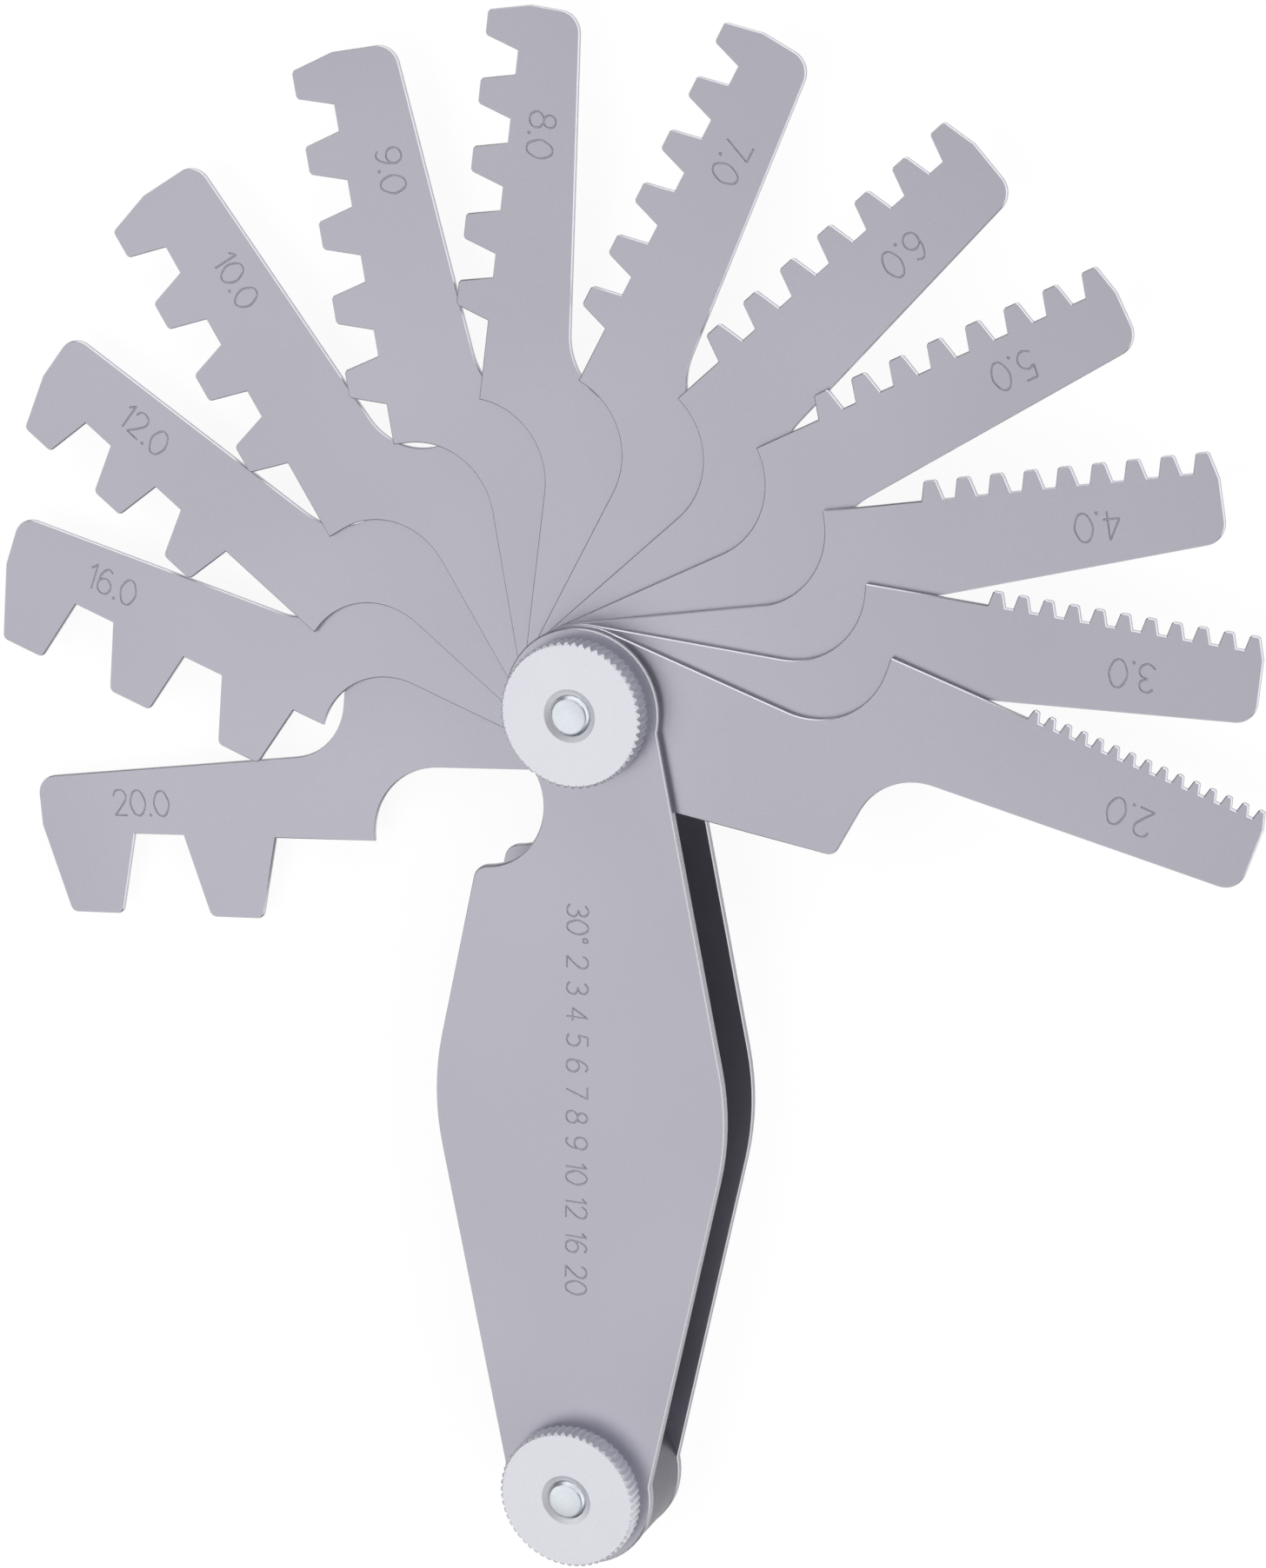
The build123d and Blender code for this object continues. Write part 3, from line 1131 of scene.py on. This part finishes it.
class PITCHGAUGE_OT_finishes(bpy.types.Operator):
    """Makes the materials of the steel, aluminium and zinc plated pieces"""

    bl_idname = "pitchgauge.finishes"
    bl_label = "Finishes"

    def execute(self, context):
        steel = context.scene.gauge_steel
        nut = context.scene.gauge_nut
        satin_steel("satin_ground_steel", steel.face_colour)
        # Leaf edges painted lighter than the face: a painted highlight of the bright edge lines
        sheared_edge_steel("leaf_edge_painted_highlight", "#D0D0D6", "#DCDCE2")
        # Cover edges painted darker than the leaves' edges: painted shade on the covers' sides
        sheared_edge_steel("cover_edge_painted_shade", "#B8B8BE", "#C4C4CA")
        # Grooves painted darker than the face: painted shade in the recesses
        groove_steel("painted_shade_groove", "#A8A7B1")
        rolled_knurl("rolled_aluminium_knurl", "#F6F6FA")
        for end in ("pivot", "end"):
            low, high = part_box(f"{end}_nut")
            centre = axis_centre(low, high)
            turned_metal(
                f"turned_aluminium_{end}", centre, nut.dark_colour, nut.light_colour, 0.46, 0.54
            )
            turned_metal(f"zinc_plated_steel_{end}", centre, "#CDD2D9", "#E4E8ED", 0.28, 0.4)
        low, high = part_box("end_spacer")
        centre = axis_centre(low, high)
        # The spacer's steel is painted much darker than the other steel: painted shade
        turned_metal("painted_shade_spacer_steel", centre, "#787880", "#8E8E96", 0.3, 0.42)
        engraver_tree()
        return {"FINISHED"}


class PITCHGAUGE_OT_stage(bpy.types.Operator):
    """Lays the pale floor, sets the soft light and places the camera"""

    bl_idname = "pitchgauge.stage"
    bl_label = "Stage"

    def execute(self, context):
        scene = context.scene
        settings = scene.gauge_stage
        half = settings.floor_width / 2
        mesh = bpy.data.meshes.new("table_top")
        corners = [(-half, -half, 0), (half, -half, 0), (half, half, 0), (-half, half, 0)]
        mesh.from_pydata(corners, [], [(0, 1, 2, 3)])
        mesh.materials.append(pale_floor("matt_white_table", settings.floor_colour))
        link_object("table_top", mesh)

        key = bpy.data.lights.new("soft_key", "AREA")
        key.shape = "DISK"
        key.size = KEY_WIDTH
        key.energy = settings.key_power
        lamp = bpy.data.objects.new("soft_key", key)
        scene.collection.objects.link(lamp)
        lamp.location = settings.key_place
        lamp.rotation_euler = (-Vector(settings.key_place)).to_track_quat("-Z", "Y").to_euler()

        world = bpy.data.worlds.new("white_room")
        world.use_nodes = True
        soft_sky(world.node_tree, settings.sky_strength)
        scene.world = world

        camera = bpy.data.cameras.new("camera")
        camera.lens = CAMERA_LENS
        camera.sensor_width = 36
        camera.clip_start = 0.01
        camera.clip_end = 20
        viewer = bpy.data.objects.new("camera", camera)
        scene.collection.objects.link(viewer)
        viewer.location = Vector(CAMERA_PLACE) * MM
        viewer.rotation_mode = "ZYX"
        viewer.rotation_euler = [math.radians(turn) for turn in CAMERA_TURNS]
        scene.camera = viewer
        scene.view_settings.view_transform = "Standard"
        return {"FINISHED"}


class PITCHGAUGE_PT_panel(bpy.types.Panel):
    bl_idname = "PITCHGAUGE_PT_panel"
    bl_label = "Thread pitch gauge"
    bl_space_type = "VIEW_3D"
    bl_region_type = "UI"
    bl_category = "Pitch gauge"

    def draw(self, context):
        for group in GROUPS:
            settings = getattr(context.scene, group)
            box = self.layout.box()
            for name in settings.__annotations__:
                box.prop(settings, name)
        for operator in OPERATORS:
            self.layout.operator(operator.bl_idname)


GROUPS = {
    "gauge_steel": GaugeSteelSizes,
    "gauge_nut": GaugeNutSizes,
    "gauge_stud": GaugeStudSizes,
    "gauge_stage": GaugeStageSettings,
}
OPERATORS = (
    PITCHGAUGE_OT_finishes,
    PITCHGAUGE_OT_leaves,
    PITCHGAUGE_OT_covers,
    PITCHGAUGE_OT_spacer,
    PITCHGAUGE_OT_nuts,
    PITCHGAUGE_OT_studs,
    PITCHGAUGE_OT_stage,
)


def register():
    for group in GROUPS.values():
        bpy.utils.register_class(group)
    for operator in OPERATORS:
        bpy.utils.register_class(operator)
    bpy.utils.register_class(PITCHGAUGE_PT_panel)
    for name, group in GROUPS.items():
        setattr(bpy.types.Scene, name, PointerProperty(type=group))


def unregister():
    for name in GROUPS:
        delattr(bpy.types.Scene, name)
    bpy.utils.unregister_class(PITCHGAUGE_PT_panel)
    for operator in OPERATORS:
        bpy.utils.unregister_class(operator)
    for group in GROUPS.values():
        bpy.utils.unregister_class(group)


def main():
    register()
    for operator in OPERATORS:
        category, name = operator.bl_idname.split(".")
        getattr(getattr(bpy.ops, category), name)()


if __name__ == "__main__":
    main()
